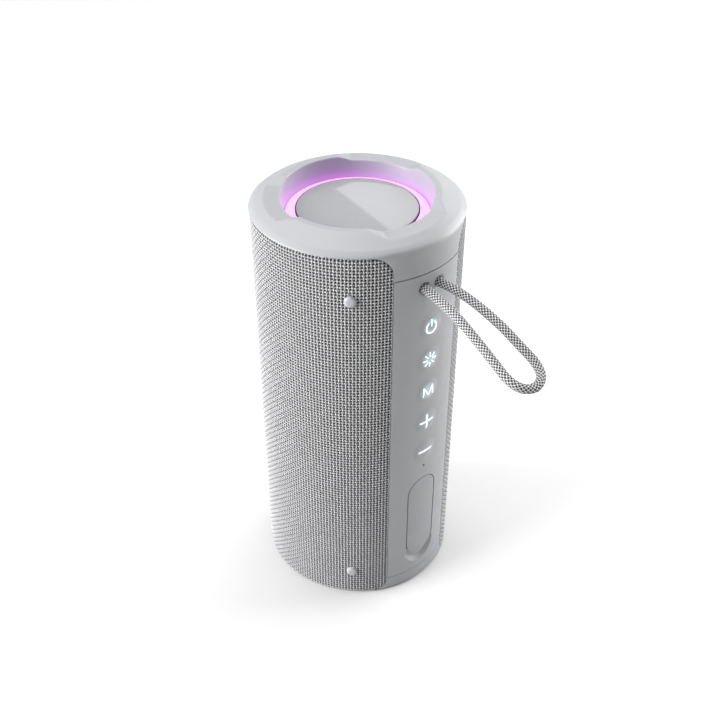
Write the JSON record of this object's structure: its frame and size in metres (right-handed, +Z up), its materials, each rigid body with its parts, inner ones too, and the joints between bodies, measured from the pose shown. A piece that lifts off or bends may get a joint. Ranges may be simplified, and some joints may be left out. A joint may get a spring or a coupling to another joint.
{
  "type": "portable bluetooth speaker",
  "caption": "Upright cylindrical wireless speaker in a woven grille, with a lit ring round its top radiator, a strip of lit keys, a port flap and a braided wrist loop.",
  "frame": {"origin": "centre of the base, on the surface the speaker stands on", "axes": "+Z up along the body's axis, the key strip and wrist loop face -Y, +X is to the right when facing the key strip"},
  "size_m": [0.084, 0.1381, 0.181],
  "materials": {
    "shell_plastic": "fine matt moulded light grey",
    "key_plastic": "matt light grey with lit symbols",
    "grille_cloth": "open two-tone grey weave",
    "dark_plastic": "matt black",
    "inner_plastic": "matt dark grey",
    "light_guide": "milky, lit pink from below",
    "cover_satin": "satin light grey",
    "flap_rubber": "soft matt light grey",
    "foot_rubber": "soft light grey",
    "black_rubber": "soft black",
    "cord_braid": "round braid of light and dark grey yarns",
    "steel": "plated steel",
    "magnet_steel": "dark plated steel",
    "cone_paper": "pressed pulp, matt",
    "circuit_board": "solder resist",
    "cell_wrap": "cells in shrink wrap"
  },
  "bodies": {
    "housing": {"top_cap": "shell_plastic", "bottom_cap": "shell_plastic", "control_panel": "shell_plastic", "grille_fabric": "grille_cloth", "grille_frame": "dark_plastic", "port_bay": "inner_plastic", "lanyard_anchor": "inner_plastic", "case_front": "inner_plastic", "case_back": "inner_plastic", "battery_tray": "inner_plastic", "top_radiator_frame": "inner_plastic", "bottom_radiator_frame": "inner_plastic", "light_ring": "light_guide", "flap_tether": "flap_rubber", "side_foot_1": "foot_rubber", "side_foot_2": "foot_rubber", "side_foot_3": "foot_rubber", "side_foot_4": "foot_rubber", "base_foot_1": "black_rubber", "base_foot_2": "black_rubber", "base_foot_3": "black_rubber", "top_radiator_surround": "black_rubber", "bottom_radiator_surround": "black_rubber", "driver_surround_upper": "black_rubber", "driver_surround_lower": "black_rubber", "lanyard_cord": "cord_braid", "charge_socket": "steel", "aux_socket": "steel", "card_socket": "steel", "microphone": "steel", "top_cap_screw_1": "steel", "top_cap_screw_2": "steel", "top_cap_screw_3": "steel", "bottom_cap_screw_1": "steel", "bottom_cap_screw_2": "steel", "bottom_cap_screw_3": "steel", "driver_basket_upper": "magnet_steel", "driver_basket_lower": "magnet_steel", "driver_magnet_upper": "magnet_steel", "driver_magnet_lower": "magnet_steel", "main_board": "circuit_board", "button_board": "circuit_board", "light_board": "circuit_board", "battery_cell_1": "cell_wrap", "battery_cell_2": "cell_wrap"},
    "key_power": {"button_power": "key_plastic"},
    "key_light": {"button_light": "key_plastic"},
    "key_mode": {"button_mode": "key_plastic"},
    "key_volume_up": {"button_volume_up": "key_plastic"},
    "key_volume_down": {"button_volume_down": "key_plastic"},
    "flap": {"port_flap": "flap_rubber"},
    "top_radiator": {"top_radiator_cover": "cover_satin", "top_radiator_plate": "inner_plastic", "top_radiator_weight": "steel"},
    "bottom_radiator": {"bottom_radiator_cover": "cover_satin", "bottom_radiator_plate": "inner_plastic", "bottom_radiator_weight": "steel"},
    "upper_cone": {"driver_cone_upper": "cone_paper"},
    "lower_cone": {"driver_cone_lower": "cone_paper"}
  },
  "joints": [
    {"name": "key_power_press", "type": "slide", "parent": "housing", "child": "key_power", "axis": [0, 1, 0], "range_m": [0, 0.0005], "stiffness_N_per_m": 1500},
    {"name": "key_light_press", "type": "slide", "parent": "housing", "child": "key_light", "axis": [0, 1, 0], "range_m": [0, 0.0005], "stiffness_N_per_m": 1500},
    {"name": "key_mode_press", "type": "slide", "parent": "housing", "child": "key_mode", "axis": [0, 1, 0], "range_m": [0, 0.0005], "stiffness_N_per_m": 1500},
    {"name": "key_volume_up_press", "type": "slide", "parent": "housing", "child": "key_volume_up", "axis": [0, 1, 0], "range_m": [0, 0.0005], "stiffness_N_per_m": 1500},
    {"name": "key_volume_down_press", "type": "slide", "parent": "housing", "child": "key_volume_down", "axis": [0, 1, 0], "range_m": [0, 0.0005], "stiffness_N_per_m": 1500},
    {"name": "flap_hinge", "type": "hinge", "parent": "housing", "child": "flap", "pos_m": [0, -0.0418, 0.0607], "axis": [-1, 0, 0], "range_deg": [0, 110], "deforming": ["flap_tether"]},
    {"name": "top_radiator_travel", "type": "slide", "parent": "housing", "child": "top_radiator", "axis": [0, 0, 1], "range_m": [-0.0015, 0.0015], "stiffness_N_per_m": 1500, "deforming": ["top_radiator_surround"]},
    {"name": "bottom_radiator_travel", "type": "slide", "parent": "housing", "child": "bottom_radiator", "axis": [0, 0, -1], "range_m": [-0.0015, 0.0015], "stiffness_N_per_m": 1500, "deforming": ["bottom_radiator_surround"]},
    {"name": "upper_cone_travel", "type": "slide", "parent": "housing", "child": "upper_cone", "axis": [0, 1, 0], "range_m": [-0.0012, 0.0012], "stiffness_N_per_m": 600, "deforming": ["driver_surround_upper"]},
    {"name": "lower_cone_travel", "type": "slide", "parent": "housing", "child": "lower_cone", "axis": [0, 1, 0], "range_m": [-0.0012, 0.0012], "stiffness_N_per_m": 600, "deforming": ["driver_surround_lower"]}
  ]
}
